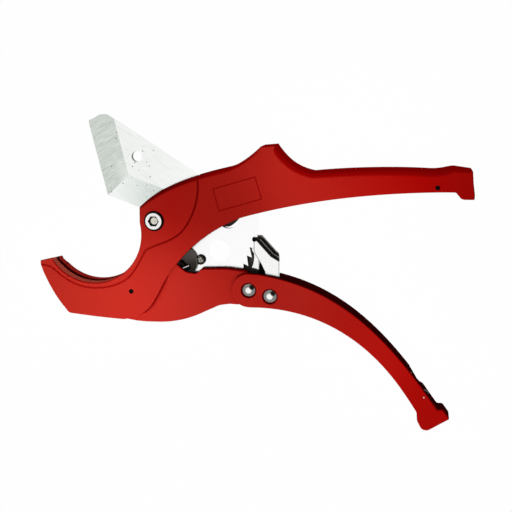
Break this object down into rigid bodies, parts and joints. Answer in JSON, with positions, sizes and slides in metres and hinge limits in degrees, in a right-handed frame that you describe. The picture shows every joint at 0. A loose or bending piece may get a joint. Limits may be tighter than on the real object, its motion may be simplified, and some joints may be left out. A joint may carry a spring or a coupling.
{
  "type": "pvc pipe cutter",
  "caption": "Hand-held ratchet cutter for plastic pipe: red cast jaw and handles, V-edged steel blade with a toothed sector, pawls, return spring and latch.",
  "frame": {"origin": "on the blade's pivot axis, at the back face that the tool lies on", "axes": "+X from the jaw to the handle ends, +Y from the lower handle to the upper handle, +Z out of the front face along the pivot"},
  "size_m": [0.3105, 0.2224, 0.0242],
  "materials": {
    "red_paint": "smooth glossy red paint over a die-casting",
    "blade_steel": "finely ground, bevels a shade darker",
    "bright_steel": "zinc plated, satin",
    "dark_steel": "dark oiled steel",
    "spring_steel": "drawn spring wire"
  },
  "bodies": {
    "frame": {"body_casting": "red_paint", "pivot_bolt": "bright_steel", "pivot_nut": "dark_steel", "pivot_bush": "bright_steel", "pivot_washers": "bright_steel", "stop_pin": "dark_steel", "catch_pin": "dark_steel", "handle_rivet": "bright_steel", "spring_anchor": "dark_steel", "anchor_rivet": "dark_steel", "return_spring": "spring_steel", "hold_spring": "spring_steel"},
    "blade": {"blade": "blade_steel", "anchor_screw": "bright_steel"},
    "lower_handle": {"lower_handle": "red_paint", "pawl_rivet": "bright_steel", "latch_pin": "bright_steel", "latch_spacers": "bright_steel"},
    "drive_pawl": {"pawl_front_plate": "blade_steel", "pawl_rear_plate": "blade_steel", "pawl_claw": "blade_steel", "pawl_tab": "dark_steel", "pawl_spacers": "bright_steel", "pawl_spring": "spring_steel"},
    "hold_pawl": {"hold_pawl": "blade_steel", "hold_plate": "dark_steel"},
    "latch": {"latch": "dark_steel"}
  },
  "joints": [
    {"name": "blade_pivot", "type": "hinge", "parent": "frame", "child": "blade", "pos_m": [0, 0, 0.011], "axis": [0, 0, 1], "range_deg": [0, 97], "stiffness_Nm_per_rad": 0.15, "springref_deg": -34.38, "deforming": ["return_spring"]},
    {"name": "handle_pivot", "type": "hinge", "parent": "frame", "child": "lower_handle", "pos_m": [0.0684, -0.0486, 0.011], "axis": [0, 0, 1], "range_deg": [0, 55]},
    {"name": "pawl_pivot", "type": "hinge", "parent": "lower_handle", "child": "drive_pawl", "pos_m": [0.0837, -0.0526, 0.011], "axis": [0, 0, 1], "range_deg": [-62, 0], "deforming": ["pawl_spring"]},
    {"name": "hold_pivot", "type": "hinge", "parent": "frame", "child": "hold_pawl", "pos_m": [0.0684, -0.0486, 0.011], "axis": [0, 0, 1], "range_deg": [-2, 0], "stiffness_Nm_per_rad": 0.05, "springref_deg": 11.46, "deforming": ["hold_spring"]},
    {"name": "latch_pivot", "type": "hinge", "parent": "lower_handle", "child": "latch", "pos_m": [0.194, -0.1226, 0.011], "axis": [0, 0, 1], "range_deg": [-89, 0]}
  ],
  "couplings": [
    {"joint": "pawl_pivot", "follows": "handle_pivot", "ratio": -1.12}
  ]
}
